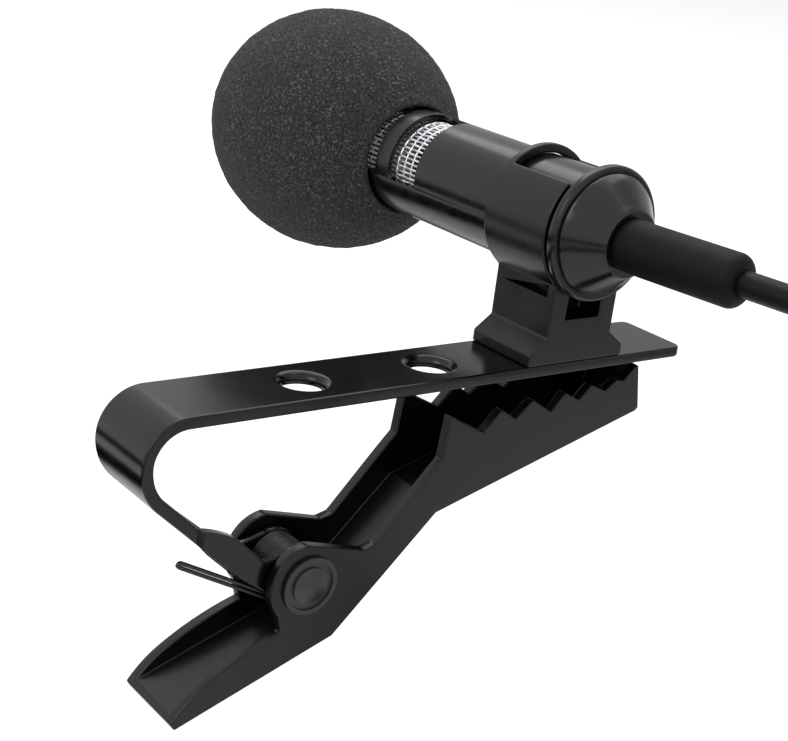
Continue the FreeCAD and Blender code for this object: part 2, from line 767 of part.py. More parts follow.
def make_leads():
    """Two insulated leads from the capsule's board back to the relief."""
    rear = cone_rear_inside()
    for name, x in (("signal_lead", 0.55), ("ground_lead", -0.55)):
        bar = along_y(name, constant(0.32), rear, get("capsule_rear") + 0.2 - rear, axis_z, constant(x))
        bar.Label = name


def cone_rear_inside():
    return rim_front() - get("rim_length") + 1.0


def make_relief():
    """Rubber strain relief: root inside the cone and a body that leans a little as it leaves."""
    body = new_body("strain_relief")
    face = rim_front() - get("rim_length") - get("cone_length")
    radius = get("relief_radius")
    root_sketch = new_sketch(body, "relief_root", "XZ_Plane", -cone_rear_inside())
    draw_circle(root_sketch, (constant(0), axis_z), radius - 0.3 - get("root_fit"))
    add_pad(body, root_sketch, cone_rear_inside() - face + 0.25)
    path = new_sketch(body, "relief_path", "XY_Plane", axis_z)
    turn = get("relief_turn")
    bend = constant(14)
    start_y = face
    mid_x = bend * (1 - cosine(turn))
    mid_y = start_y - bend * sine(turn)
    rest = get("relief_length") - bend * sine(turn)
    end_x = mid_x + rest * sine(turn)
    end_y = mid_y - rest * cosine(turn)
    first = path.addGeometry(Part.Arc(
        FreeCAD.Vector(0, number(start_y), 0),
        FreeCAD.Vector(number(bend) * (1 - math.cos(math.radians(number(turn) / 2))),
                       number(start_y) - number(bend) * math.sin(math.radians(number(turn) / 2)), 0),
        FreeCAD.Vector(number(mid_x), number(mid_y), 0)))
    arc = path.Geometry[first]
    top = 1 if arc.StartPoint.y > arc.EndPoint.y else 2
    second = path.addGeometry(Part.LineSegment(vector2((mid_x, mid_y)), vector2((end_x, end_y))))
    path.addConstraint(Sketcher.Constraint("Coincident", first, 3 - top, second, 1))
    pin_point(path, first, top, (constant(0), start_y))
    pin_point(path, second, 1, (mid_x, mid_y))
    pin_point(path, second, 2, (end_x, end_y))
    row = path.addConstraint(Sketcher.Constraint("Radius", first, number(bend)))
    profile = new_sketch(body, "relief_profile", "XZ_Plane", -start_y)
    draw_circle(profile, (constant(0), axis_z), radius)
    doc.recompute()
    pipe = body.newObject("PartDesign::AdditivePipe", "relief_sweep")
    pipe.Profile = profile
    pipe.Spine = path
    body.Tip = pipe
    doc.recompute()
    target = FreeCAD.Vector(number(end_x), number(end_y), number(axis_z))
    rims = []
    for index, edge in enumerate(pipe.Shape.Edges, start=1):
        if edge.Curve.TypeId == "Part::GeomCircle" and edge.Curve.Center.distanceToPoint(target) < 0.2:
            rims.append(f"Edge{index}")
    if not rims:
        for index, edge in enumerate(pipe.Shape.Edges, start=1):
            if edge.BoundBox.Center.distanceToPoint(target) < 0.3 and len(edge.Vertexes) < 2:
                rims.append(f"Edge{index}")
    add_fillet(body, "relief_round_end", rims, get("relief_round") * 0.85)
    return body, (end_x, end_y)


# Lead: a smooth tube through route points, a neat tied coil, a short tail and the plug

def corner_arc(first, corner, last):
    """Arc from first to last that would leave both towards the corner."""
    middle = (first + last) * 0.5
    half_turn = (corner - first).getAngle(last - corner) / 2
    reach = (corner - first).Length
    bow = reach * (1 / math.cos(half_turn) - 1) / math.tan(half_turn)
    return Part.Arc(first, corner + (middle - corner).normalize() * bow, last)


def sweep(name, edges, radius):
    """Round tube along edges that run smoothly into each other."""
    wire = Part.Wire([edge.toShape() for edge in edges])
    start = wire.Edges[0]
    ring = Part.Wire(Part.Circle(start.valueAt(start.FirstParameter), start.tangentAt(start.FirstParameter),
                                 radius).toShape())
    solid = wire.makePipeShell([ring], True, False)
    print(name, "length %.1f mm" % wire.Length,
          "volume over section x length %.3f" % (solid.Volume / (math.pi * radius ** 2 * wire.Length)))
    feature = doc.addObject("Part::Feature", name)
    feature.Label = name
    feature.Shape = solid
    return wire


def tube(name, points, radius):
    """Tube with straight runs joined by tangent arcs; prints its radii."""
    edges = []
    cursor = points[0]
    radii = []
    for index in range(1, len(points) - 1):
        before = points[index] - points[index - 1]
        after = points[index + 1] - points[index]
        reach = 0.45 * min(before.Length, after.Length)
        radii.append(reach / math.tan(before.getAngle(after) / 2))
        first = points[index] - before.normalize() * reach
        last = points[index] + after.normalize() * reach
        edges.append(Part.LineSegment(cursor, first))
        edges.append(corner_arc(first, points[index], last))
        cursor = last
    edges.append(Part.LineSegment(cursor, points[-1]))
    print(name, "radii", [round(value, 1) for value in radii])
    sweep(name, edges, radius)


def two_arcs(start, start_way, stop, stop_way):
    """Two arcs from one point and direction to another."""
    run = stop - start
    both = start_way + stop_way
    square = 2 * (1 - start_way.dot(stop_way))
    along = run.dot(both)
    reach = (math.sqrt(along ** 2 + square * run.dot(run)) - along) / square
    first_corner = start + start_way * reach
    second_corner = stop - stop_way * reach
    joint = (first_corner + second_corner) * 0.5
    return [corner_arc(start, first_corner, joint), corner_arc(joint, second_corner, stop)]


def winding(place_at, all_turns, pieces):
    """Arcs through a winding, two to each of its pieces; place_at gives the point at a count of turns."""
    step = 0.001
    nodes = []
    for index in range(pieces + 1):
        turns = all_turns * index / pieces
        way = (place_at(turns + step) - place_at(turns - step)).normalize()
        nodes.append((place_at(turns), way))
    edges = []
    for (start, start_way), (stop, stop_way) in zip(nodes, nodes[1:]):
        edges += two_arcs(start, start_way, stop, stop_way)
    return edges


def print_least_gap(name, wire, diameter, apart):
    """Measures on points how near the wire comes to itself, leaving out its own next stretch."""
    points = wire.discretize(Distance=diameter * 0.25)
    spacing = wire.Length / (len(points) - 1)
    skip = int(apart / spacing)
    least = min((first - second).Length
                for index, first in enumerate(points) for second in points[index + skip:])
    print(name, "least gap to itself %.2f mm on %d points" % (least - diameter, len(points)))


def make_lead(relief_end):
    radius = number(get("cable_radius"))
    turn = math.radians(number(get("relief_turn")))
    start = FreeCAD.Vector(number(relief_end[0]), number(relief_end[1]), number(axis_z))
    outward = FreeCAD.Vector(math.sin(turn), -math.cos(turn), 0)
    corner = start + outward * 22
    hang = FreeCAD.Vector(corner.x, corner.y, corner.z - 44)
    entry = FreeCAD.Vector(corner.x, corner.y + 22, hang.z)
    tube("cable_lead", [start, corner, hang, entry], radius)
    ring = number(get("coil_outer"))
    centre = FreeCAD.Vector(entry.x, entry.y, entry.z - ring)
    leaving = make_coil(centre)
    make_tie(centre)
    end = leaving - FreeCAD.Vector(0, 0, number(get("tail_run")))
    tail = primitive("Part::Cylinder", "cable_tail", Radius=get("cable_radius"), Height=get("tail_run"))
    place(tail, constant(end.x), constant(end.y), constant(end.z))
    make_plug(end)


def make_coil(centre):
    """Neat round coil of the spare cable: flat spirals, inwards and outwards by turns, side by side along X.
    Each spiral crosses to the next one in its last half turn. Returns the place where the tail leaves."""
    outer = number(get("coil_outer"))
    pitch = number(get("coil_pitch"))
    layer_turns = 4
    layers = 4
    spiral = layer_turns - 0.5

    def place_at(turns):
        layer = min(max(int(turns // layer_turns), 0), layers - 1)
        inside = turns - layer * layer_turns
        last = layer == layers - 1
        shrink = inside if last else min(inside, spiral)
        radius = outer - pitch * shrink if layer % 2 == 0 else outer - pitch * (spiral - shrink)
        climb = 0 if last else min(max((inside - spiral) * 2, 0), 1)
        across = pitch * (layer + climb * climb * (3 - 2 * climb))
        angle = turns * math.tau
        return centre + FreeCAD.Vector(across, radius * math.sin(angle), radius * math.cos(angle))
    quarters = layers * layer_turns * 4 + 1
    diameter = number(get("cable_radius")) * 2
    wire = sweep("cable_coil", winding(place_at, quarters / 4, quarters), diameter / 2)
    print_least_gap("cable_coil", wire, diameter, 12)
    return place_at(quarters / 4)


def make_tie(centre):
    """Strap tie about all the turns on the far side of the coil from its ends."""
    outer = number(get("coil_outer"))
    pitch = number(get("coil_pitch"))
    room = number(get("cable_radius")) + 0.2
    length = number(get("tie_width"))
    inner = outer - pitch * 3.5
    bow = inner - math.sqrt(inner ** 2 - (length / 2) ** 2)
    strap = number(get("tie_gauge"))
    wide = pitch * 3 + room * 2
    deep = outer - inner + room * 2 + bow
    low = centre + FreeCAD.Vector(-room, -length / 2, -outer - room)
    block = Part.makeBox(wide + strap * 2, length, deep + strap * 2, low - FreeCAD.Vector(strap, 0, strap))
    hole = Part.makeBox(wide, length, deep, low)
    shape = block.makeFillet(strap * 1.75, [edge for edge in block.Edges if abs(edge.tangentAt(0).y) > 0.9])
    feature = doc.addObject("Part::Feature", "coil_tie")
    feature.Label = "coil_tie"
    feature.Shape = shape.cut(hole)


def hanging_bar(name, centre, radius, top, length):
    """Round bar that hangs from a height."""
    bar = primitive("Part::Cylinder", name, Radius=radius, Height=length)
    return place(bar, constant(centre.x), constant(centre.y), constant(top) - length)


def make_plug(end):
    """Four-pole 3.5 mm plug that hangs from the lead's end: boot, shell, contacts and insulators."""
    top = end.z
    boot = get("boot_length")
    radius = get("boot_radius")
    tall = primitive("Part::Cone", "plug_boot", Radius1=radius, Radius2=get("cable_radius") + 0.55, Height=boot)
    place(tall, constant(end.x), constant(end.y), constant(top) - boot)
    level = top - number(boot)
    shell = get("shell_length")
    bar = hanging_bar("shell_bar", end, get("shell_radius"), level, shell)
    edges = doc.addObject("Part::Chamfer", "plug_shell")
    edges.Label = "plug_shell"
    doc.recompute()
    rims = [index for index, edge in enumerate(bar.Shape.Edges, start=1) if len(edge.Vertexes) == 1]
    edges.Base = bar
    edges.Edges = [(index, 0.6, 0.6) for index in rims]
    level -= number(shell)
    contact = get("plug_radius")
    stack = (("plug_sleeve", 6.4), ("insulator_rear", 0.6), ("plug_ring_rear", 1.5), ("insulator_middle", 0.6),
             ("plug_ring_front", 1.5), ("insulator_front", 0.6))
    for name, length in stack:
        hanging_bar(name, end, contact, level, constant(length))
        level -= length
    neck = 1.15
    profile = [
        (0, level), (contact.value, level), (contact.value, level - 0.5), (neck, level - 1.1), (neck, level - 1.5),
        (contact.value, level - 2.2), (0.55, level - 3.6), (0, level - 3.6),
    ]
    corners = [FreeCAD.Vector(end.x + across, end.y, height) for across, height in profile]
    face = Part.Face(Part.makePolygon(corners + corners[:1]))
    feature = doc.addObject("Part::Feature", "plug_tip")
    feature.Label = "plug_tip"
    feature.Shape = face.revolve(end, FreeCAD.Vector(0, 0, 1), 360)


def make_foam():
    """Ball of foam, a little longer than wide, with the bore that grips the barrel."""
    radius = get("foam_radius")
    ball = primitive("Part::Ellipsoid", "foam_ball", Radius1=get("foam_half_length"), Radius2=radius, Radius3=radius,
                     Angle1=-90, Angle2=90, Angle3=360)
    place(ball, 0, get("foam_centre"), axis_z, (1, 0, 0), -90)
    start = get("foam_centre") - get("foam_half_length")
    bore = along_y("foam_bore_bar", get("foam_bore"), start, get("barrel_front") + 0.3 - start)
    return cut("foam_windscreen", ball, bore)


PARTS = (
    "spring_strip", "lower_jaw", "pivot_pin", "torsion_spring", "mic_holder", "holder_rivet",
    "mic_barrel", "rear_ring", "rear_cone", "mesh_sleeve", "front_grille",
    "capsule_can", "diaphragm_ring", "capsule_diaphragm", "diaphragm_spacer", "capsule_backplate", "backplate_cup",
    "capsule_board", "capsule_holder", "signal_lead", "ground_lead", "strain_relief",
    "cable_lead", "cable_coil", "coil_tie", "cable_tail", "plug_boot", "plug_shell", "plug_sleeve",
    "insulator_rear", "plug_ring_rear", "insulator_middle", "plug_ring_front", "insulator_front", "plug_tip",
    "foam_windscreen",
)


def write_parts():
    doc.recompute()
    for item in doc.Objects:
        if "Invalid" in item.State or "Error" in item.State:
            raise RuntimeError(f"{item.Name}: {item.State}")
    for name in PARTS:
        shape = doc.getObject(name).Shape
        if shape.isNull() or not shape.isValid():
            raise RuntimeError(f"{name} has no valid shape")
        box = shape.BoundBox
        print(f"{name:18s} solids {len(shape.Solids)} volume {shape.Volume:9.2f}",
              "x %.2f %.2f y %.2f %.2f z %.2f %.2f" % (box.XMin, box.XMax, box.YMin, box.YMax, box.ZMin, box.ZMax))
        shape.exportStep(f"parts/{name}.step")


make_strip()
make_jaw()
make_pin()
make_spring()
make_holder()
make_holder_rivet()
make_barrel()
make_rear_ring()
make_rear_cone()
make_mesh_sleeve()
make_front_grille()
make_capsule()
make_leads()
relief_end = make_relief()[1]
make_lead(relief_end)
make_foam()
write_parts()
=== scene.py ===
import math

import bmesh
import bpy
from mathutils import Matrix, Vector, noise


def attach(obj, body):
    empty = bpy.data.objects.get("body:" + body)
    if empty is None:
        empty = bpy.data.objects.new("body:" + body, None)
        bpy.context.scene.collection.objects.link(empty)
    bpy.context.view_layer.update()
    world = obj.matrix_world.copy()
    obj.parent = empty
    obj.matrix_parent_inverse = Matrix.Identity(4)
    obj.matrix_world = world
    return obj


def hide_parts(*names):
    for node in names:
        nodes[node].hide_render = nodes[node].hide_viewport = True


# Lapel microphone in a sprung garment clip. Metres; +X along the plate, +Y to the foam, +Z up.

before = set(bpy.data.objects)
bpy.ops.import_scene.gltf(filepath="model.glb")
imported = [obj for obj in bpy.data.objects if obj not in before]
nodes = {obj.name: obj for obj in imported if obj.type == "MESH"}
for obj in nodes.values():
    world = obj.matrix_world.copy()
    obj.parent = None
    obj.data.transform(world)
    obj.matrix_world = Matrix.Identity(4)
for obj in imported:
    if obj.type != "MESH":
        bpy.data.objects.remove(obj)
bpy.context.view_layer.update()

MM = 0.001
AXIS_HEIGHT = 10.84 * MM
PIN = Vector((-22.1, 0, -13.02)) * MM
CAMERA_PLACE = Vector((-80.02, -80.91, 37.23)) * MM
CAMERA_TARGET = Vector((-10.92, 4.335, -1.26)) * MM
CAMERA_ROLL = 7.19
LENS_LENGTH = 71.78
SENSOR_WIDTH = 36
FLOOR_HEIGHT = -107 * MM
MERGE_DISTANCE = 0.002 * MM
FLAT_ANGLE = math.radians(0.4)


def look_at(camera, place, target, roll):
    """Turns the camera to a target, with its upper side rolled by some degrees."""
    forward = (target - place).normalized()
    side = forward.cross(Vector((0, 0, 1))).normalized()
    up = side.cross(forward)
    angle = math.radians(roll)
    turned_side = side * math.cos(angle) + up * math.sin(angle)
    turned_up = up * math.cos(angle) - side * math.sin(angle)
    rows = Matrix((turned_side, turned_up, -forward)).transposed()
    camera.matrix_world = Matrix.Translation(place) @ rows.to_4x4()


def make_camera():
    lens = bpy.data.cameras.new("camera")
    lens.sensor_fit = "HORIZONTAL"
    lens.sensor_width = SENSOR_WIDTH
    lens.lens = LENS_LENGTH
    lens.clip_start = 0.005
    lens.clip_end = 20
    camera = bpy.data.objects.new("camera", lens)
    bpy.context.scene.collection.objects.link(camera)
    look_at(camera, CAMERA_PLACE, CAMERA_TARGET, CAMERA_ROLL)
    bpy.context.scene.camera = camera


# Pieces: how they are made and joined to the frame

def add_piece(name, data, body, stands_for=()):
    """New object that rides on a body and stands for CAD nodes."""
    piece = bpy.data.objects.new(name, data)
    bpy.context.scene.collection.objects.link(piece)
    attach(piece, body)
    if stands_for:
        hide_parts(*stands_for)
    return piece


def mesh_piece(name, shape, body, stands_for=()):
    """New smooth object from a bmesh, which is freed."""
    for face in shape.faces:
        face.smooth = True
    data = bpy.data.meshes.new(name)
    shape.to_mesh(data)
    shape.free()
    return add_piece(name, data, body, stands_for)


def eased_copy(node, name, body, width, segments=2, sharp=28, reshape=None, left=None):
    """Merged copy of a CAD piece whose arrises are eased by a small round.

    An arris is an edge whose faces meet at more than sharp degrees. Those whose ends both lie where left
    says stay as they are, because a round there would run past the thin faces beside them.
    """
    shape = bmesh.new()
    shape.from_mesh(nodes[node].data)
    bmesh.ops.remove_doubles(shape, verts=shape.verts, dist=MERGE_DISTANCE)
    if reshape:
        reshape(shape)
    bmesh.ops.dissolve_limit(shape, angle_limit=FLAT_ANGLE, verts=shape.verts, edges=shape.edges)
    arrises = [edge for edge in shape.edges if edge.calc_face_angle(0) > math.radians(sharp)]
    for edge in arrises:
        edge.smooth = not (left and all(left(vert.co) for vert in edge.verts))
    rounded = [edge for edge in arrises if edge.smooth]
    bmesh.ops.bevel(shape, geom=rounded, offset=width, segments=segments, profile=0.5, affect="EDGES",
                    clamp_overlap=False, material=-1)
    piece = mesh_piece(name, shape, body, [node])
    normals = piece.modifiers.new("normals", "WEIGHTED_NORMAL")
    normals.keep_sharp = True
    return piece


def wire_curve(name, runs, radius, sides=3, steps=4, order=3):
    """Round wire through control points; each run is a list of points.

    The points carry the wire's radius, because a curve's box grows by the radius of its points.
    """
    data = bpy.data.curves.new(name, "CURVE")
    data.dimensions = "3D"
    data.bevel_depth = 1
    data.bevel_resolution = sides
    data.resolution_u = steps
    data.use_fill_caps = True
    for points, closed in runs:
        spline = data.splines.new("NURBS")
        spline.points.add(len(points) - 1)
        for point, place in zip(spline.points, points):
            point.co = (*place, 1)
            point.radius = radius
        spline.use_cyclic_u = closed
        spline.order_u = order
        spline.use_endpoint_u = not closed
    return data


def spun(profile, steps):
    """Ring-shaped bmesh from (radius, y) points turned about the microphone's axis."""
    shape = bmesh.new()
    corners = [shape.verts.new((0, along, AXIS_HEIGHT + radius)) for radius, along in profile]
    edges = [shape.edges.new(pair) for pair in zip(corners, corners[1:])]
    bmesh.ops.spin(shape, geom=corners + edges, cent=(0, 0, AXIS_HEIGHT), axis=(0, 1, 0),
                   angle=math.tau, steps=steps, use_merge=True)
    bmesh.ops.remove_doubles(shape, verts=shape.verts, dist=MERGE_DISTANCE)
    bmesh.ops.recalc_face_normals(shape, faces=shape.faces)
    return shape


# Cable: free lead, tied coil and tail in one

CABLE = 1.9 * MM
CABLE_START = Vector((1.053, -16.343, 10.84)) * MM
CABLE_LEAN = math.radians(6.9)
LEAD_REACH = 22 * MM
LEAD_DROP = 44 * MM
TAIL_DROP = 14 * MM
COIL_OUTER = 15.6 * MM
COIL_PITCH = 2.65 * MM
LAYERS = 4
LAYER_TURNS = 4
LAST_PART_TURN = 0.25
POINTS_PER_TURN = 16


def coil_place(turns, centre, grow):
    """Place on the coil: flat spirals side by side, inwards and outwards by turns."""
    spiral = LAYER_TURNS - 0.5
    layer = min(max(int(turns // LAYER_TURNS), 0), LAYERS - 1)
    inside = turns - layer * LAYER_TURNS
    last = layer == LAYERS - 1
    shrink = inside if last else min(inside, spiral)
    reach = shrink if layer % 2 == 0 else spiral - shrink
    radius = (COIL_OUTER - COIL_PITCH * reach) * grow
    climb = 0 if last else min(max((inside - spiral) * 2, 0), 1)
    across = COIL_PITCH * (layer + climb * climb * (3 - 2 * climb))
    angle = turns * math.tau
    return centre + Vector((across, radius * math.sin(angle), radius * math.cos(angle)))


def make_cable(jacket):
    """Cable that leaves the rubber sleeve, hangs, runs through the tied coil and down to the plug."""
    corner = CABLE_START + Vector((math.sin(CABLE_LEAN), -math.cos(CABLE_LEAN), 0)) * LEAD_REACH
    hang = corner - Vector((0, 0, LEAD_DROP))
    entry = hang + Vector((0, LEAD_REACH, 0))
    centre = entry - Vector((0, 0, COIL_OUTER))
    count = int((LAYERS * LAYER_TURNS + LAST_PART_TURN) * POINTS_PER_TURN)
    half_step = math.pi / POINTS_PER_TURN
    grow = 1 / math.cos(half_step)
    tangent = COIL_OUTER * math.tan(half_step)
    points = [CABLE_START, CABLE_START.lerp(corner, 0.45), corner, corner.lerp(hang, 0.5), hang,
              entry - Vector((0, tangent, 0))]
    points += [coil_place((step + 0.5) / POINTS_PER_TURN, centre, grow) for step in range(count)]
    leaving = coil_place(count / POINTS_PER_TURN, centre, 1)
    points += [leaving - Vector((0, 0, tangent)), leaving - Vector((0, 0, TAIL_DROP))]
    data = wire_curve("cable", [(points, False)], CABLE / 2, sides=3, steps=5)
    cable = add_piece("cable", data, "lead", ["cable_lead", "cable_coil", "cable_tail"])
    data.materials.append(jacket)


# Materials

def linear(code):
    """sRGB hex code as a linear colour."""
    parts = [int(code[index:index + 2], 16) / 255 for index in (0, 2, 4)]
    return (*[part / 12.92 if part <= 0.04045 else ((part + 0.055) / 1.055) ** 2.4 for part in parts], 1)


def add_node(tree, kind, inputs=None, **settings):
    """Adds a node with its settings; an input is a value or the socket that feeds it."""
    made = tree.nodes.new(kind)
    for name, value in settings.items():
        setattr(made, name, value)
    for name, value in (inputs or {}).items():
        if isinstance(value, bpy.types.NodeSocket):
            tree.links.new(value, made.inputs[name])
        else:
            made.inputs[name].default_value = value
    return made


def new_material(name):
    """Empty node material and its tree."""
    material = bpy.data.materials.new(name)
    material.use_nodes = True
    material.node_tree.nodes.clear()
    return material, material.node_tree


def finish_material(tree, shader):
    add_node(tree, "ShaderNodeOutputMaterial", {"Surface": shader.outputs[0]})


def grain(tree, size, detail=4.0, roughness=0.6):
    """Even noise on object coordinates whose blobs are about one size across."""
    place = add_node(tree, "ShaderNodeTexCoord")
    return add_node(tree, "ShaderNodeTexNoise",
                    {"Vector": place.outputs["Object"], "Scale": 1 / size, "Detail": detail,
                     "Roughness": roughness})


def spread(tree, source, low, high, start=0.3, stop=0.7):
    """Maps a pattern to a range of values."""
    made = add_node(tree, "ShaderNodeMapRange", {"Value": source, "From Min": start, "From Max": stop,
                                                 "To Min": low, "To Max": high})
    return made.outputs["Result"]


def blended(tree, factor, first, second):
    """Mixes two colours by a pattern."""
    made = add_node(tree, "ShaderNodeMix", data_type="RGBA")
    for socket, value in ((made.inputs[0], factor), (made.inputs[6], first), (made.inputs[7], second)):
        if isinstance(value, bpy.types.NodeSocket):
            tree.links.new(value, socket)
        else:
            socket.default_value = value
    return made.outputs[2]


def plain_surface(name, colour, rough, spec=0.5, metal=0.0, size=0.4 * MM, depth=0.01 * MM):
    """Moulded, painted or plated surface: faint unevenness in tone, gloss and height."""
    tint = 0.12
    swing = 0.04
    material, tree = new_material(name)
    pattern = grain(tree, size)
    tone = linear(colour)
    darker = tuple(part * (1 - tint) for part in tone[:3]) + (1,)
    lighter = tuple(min(part * (1 + tint), 1) for part in tone[:3]) + (1,)
    cloud = grain(tree, size * 12, 2.0)
    bump = add_node(tree, "ShaderNodeBump",
                    {"Height": pattern.outputs[0], "Distance": depth, "Strength": 1.0})
    shader = add_node(tree, "ShaderNodeBsdfPrincipled", {
        "Base Color": blended(tree, cloud.outputs[0], darker, lighter),
        "Roughness": spread(tree, cloud.outputs[0], rough - swing, rough + swing),
        "Metallic": metal, "Specular IOR Level": spec, "Normal": bump.outputs[0]})
    finish_material(tree, shader)
    return material


def black_lacquered_steel():
    """Stamped steel, electro-coated in black lacquer: a deep gloss with a faint orange peel."""
    return plain_surface("black_lacquered_steel", "08080a", 0.2, spec=0.4, size=1.1 * MM, depth=0.008 * MM)


def black_lacquered_jaw():
    """The same lacquer on the jaw, a little duller where it is pressed and handled."""
    return plain_surface("black_lacquered_jaw", "0a0a0b", 0.3, spec=0.42, size=0.9 * MM, depth=0.01 * MM)


def black_oxide_pin():
    """Turned steel pin under black oxide: smooth and a little brighter than the lacquer."""
    return plain_surface("black_oxide_pin", "202022", 0.42, spec=0.8, size=0.3 * MM, depth=0.004 * MM)


def black_spring_wire():
    """Drawn spring wire, black: tight satin highlights along each turn."""
    return plain_surface("black_spring_wire", "141416", 0.3, spec=0.6, size=0.2 * MM, depth=0.003 * MM)


def moulded_abs():
    """ABS from a lightly textured mould: even satin black."""
    return plain_surface("moulded_abs", "0b0b0c", 0.3, spec=0.42, size=0.15 * MM, depth=0.0015 * MM)


def satin_painted_barrel():
    """Drawn aluminium tube in satin black paint: broad, soft highlights along the tube."""
    return plain_surface("satin_painted_barrel", "0b0b0c", 0.2, spec=0.44, size=0.1 * MM, depth=0.002 * MM)


def glossy_moulded_cone():
    """Polished moulding: sharp reflections."""
    return plain_surface("glossy_moulded_cone", "08080a", 0.22, spec=0.5, size=1.2 * MM, depth=0.004 * MM)


def moulded_rubber():
    """Soft moulded rubber: dull, with no clear reflections."""
    return plain_surface("moulded_rubber", "060607", 0.6, spec=0.2, size=0.15 * MM, depth=0.012 * MM)


def cable_jacket():
    """Extruded rubber-like jacket: dull satin."""
    return plain_surface("cable_jacket", "060607", 0.5, spec=0.2, size=0.25 * MM, depth=0.008 * MM)


def bright_steel_wire():
    """Bright drawn stainless wire: light grey metal with small hot highlights."""
    return plain_surface("bright_steel_wire", "e4e5e8", 0.28, metal=1.0, size=0.3 * MM, depth=0.002 * MM)


def foam_skin():
    """Open-cell polyurethane foam: charcoal and fully matt. Fine dark pores, and short lighter strokes where
    cut cell walls catch the light, thin out over some areas."""
    material, tree = new_material("foam_skin")
    cell_size = 0.42 * MM
    wall_share = 0.16
    bend_size = 0.5 * MM
    bend_factor = 0.8 * MM
    place = add_node(tree, "ShaderNodeTexCoord").outputs["Object"]
    wander = add_node(tree, "ShaderNodeTexNoise", {"Vector": place, "Scale": 1 / bend_size, "Detail": 3.0})
    bent = add_node(tree, "ShaderNodeMix", {0: bend_factor}, data_type="VECTOR")
    tree.links.new(place, bent.inputs[4])
    tree.links.new(wander.outputs["Color"], bent.inputs[5])
    cells = add_node(tree, "ShaderNodeTexVoronoi", {"Vector": bent.outputs[1], "Scale": 1 / cell_size},
                     feature="DISTANCE_TO_EDGE")
    walls = spread(tree, cells.outputs["Distance"], 1.0, 0.0, 0.0, wall_share)
    patches = grain(tree, 0.22 * MM, 2.0)
    here = spread(tree, patches.outputs[0], 0.0, 1.0, 0.5, 0.62)
    areas = spread(tree, grain(tree, 3.5 * MM, 2.0).outputs[0], 0.35, 1.0, 0.35, 0.65)
    short = add_node(tree, "ShaderNodeMath", {0: walls, 1: here}, operation="MULTIPLY").outputs[0]
    strokes = add_node(tree, "ShaderNodeMath", {0: short, 1: areas}, operation="MULTIPLY").outputs[0]
    dust = grain(tree, 0.13 * MM, 3.0, 0.7)
    speckle = spread(tree, dust.outputs[0], 0.0, 1.0, 0.38, 0.62)
    base = blended(tree, speckle, linear("222224"), linear("545457"))
    tone = blended(tree, strokes, base, linear("a0a0a4"))
    height = add_node(tree, "ShaderNodeMath", {0: strokes, 1: dust.outputs[0]}, operation="ADD").outputs[0]
    bump = add_node(tree, "ShaderNodeBump", {"Height": height, "Distance": 0.12 * MM, "Strength": 0.9})
    shader = add_node(tree, "ShaderNodeBsdfPrincipled", {
        "Base Color": tone, "Roughness": 0.95, "Specular IOR Level": 0.15, "Sheen Weight": 0.05,
        "Sheen Roughness": 0.5, "Normal": bump.outputs[0]})
    finish_material(tree, shader)
    return material


def capsule_materials():
    """Plain finishes of the pieces inside the microphone."""
    return {
        "drawn_aluminium": plain_surface("drawn_aluminium", "c4c4c6", 0.32, metal=1.0, size=0.2 * MM,
                                         depth=0.002 * MM),
        "moulded_nylon": plain_surface("moulded_nylon", "2a2a2c", 0.5),
        "gilded_film": plain_surface("gilded_film", "c9a04a", 0.25, metal=1.0, depth=0.001 * MM),
        "green_board": plain_surface("green_board", "1f5a35", 0.4),
        "red_insulation": plain_surface("red_insulation", "8e1616", 0.45),
        "white_insulation": plain_surface("white_insulation", "c9c9c4", 0.45),
        "woven_strap": plain_surface("woven_strap", "171719", 0.85, size=0.35 * MM, depth=0.08 * MM),
        "gold_contact": plain_surface("gold_contact", "d9b26a", 0.2, metal=1.0, depth=0.001 * MM),
    }


def paint(piece, material):
    piece.data.materials.clear()
    piece.data.materials.append(material)


# Microphone and clip

def foam_outline():
    """(radius, y) points: lip, rear end arc, side arc, front end arc, pole. Worked out in millimetres."""
    wide = 10.28
    half = 12.5
    end = 8.2
    bore = 4.45
    middle = 30.2
    reach = half - end
    side = (reach ** 2 + wide ** 2 - end ** 2) / (2 * (wide - end))
    lean = math.atan2(side - wide, reach)
    lip = math.asin(bore / end)
    points = [(bore, 22.9), (bore, 21.0), (bore, 19.4), (bore - 0.04, 19.05), (bore + 0.12, 18.86)]
    arcs = (
        (end, middle - reach, 0.0, lip + 0.06, lean, -1, 8),
        (side, middle, wide - side, lean, math.pi / 2, -1, 90),
        (side, middle, wide - side, math.pi / 2, lean, 1, 90),
        (end, middle + reach, 0.0, lean, 0.002, 1, 60),
    )
    for radius, centre, lift, first, last, way, steps in arcs:
        for step in range(steps):
            angle = first + (last - first) * step / steps
            points.append((lift + radius * math.sin(angle), centre + way * radius * math.cos(angle)))
    points.append((0.0, middle + half))
    return [(radius * MM, along * MM) for radius, along in points]


def make_foam(material):
    """Foam ball with a gently uneven skin; it stands for the plain oval."""
    mouth_radius = 4.6 * MM
    mouth_end = 25 * MM
    shape = spun(foam_outline(), 320)
    bmesh.ops.triangulate(shape, faces=[face for face in shape.faces if len(face.verts) > 4])
    shape.normal_update()
    for vertex in shape.verts:
        radial = Vector((vertex.co.x, 0, vertex.co.z - AXIS_HEIGHT)).length
        if radial < mouth_radius and vertex.co.y < mouth_end:
            continue
        place = vertex.co / MM
        waves = 0.05 * noise.noise(place * 2.6) + 0.06 * noise.noise(place * 0.9)
        vertex.co += vertex.normal * (waves - 0.03) * MM
    foam = mesh_piece("foam_ball", shape, "windscreen", ["foam_windscreen"])
    paint(foam, material)


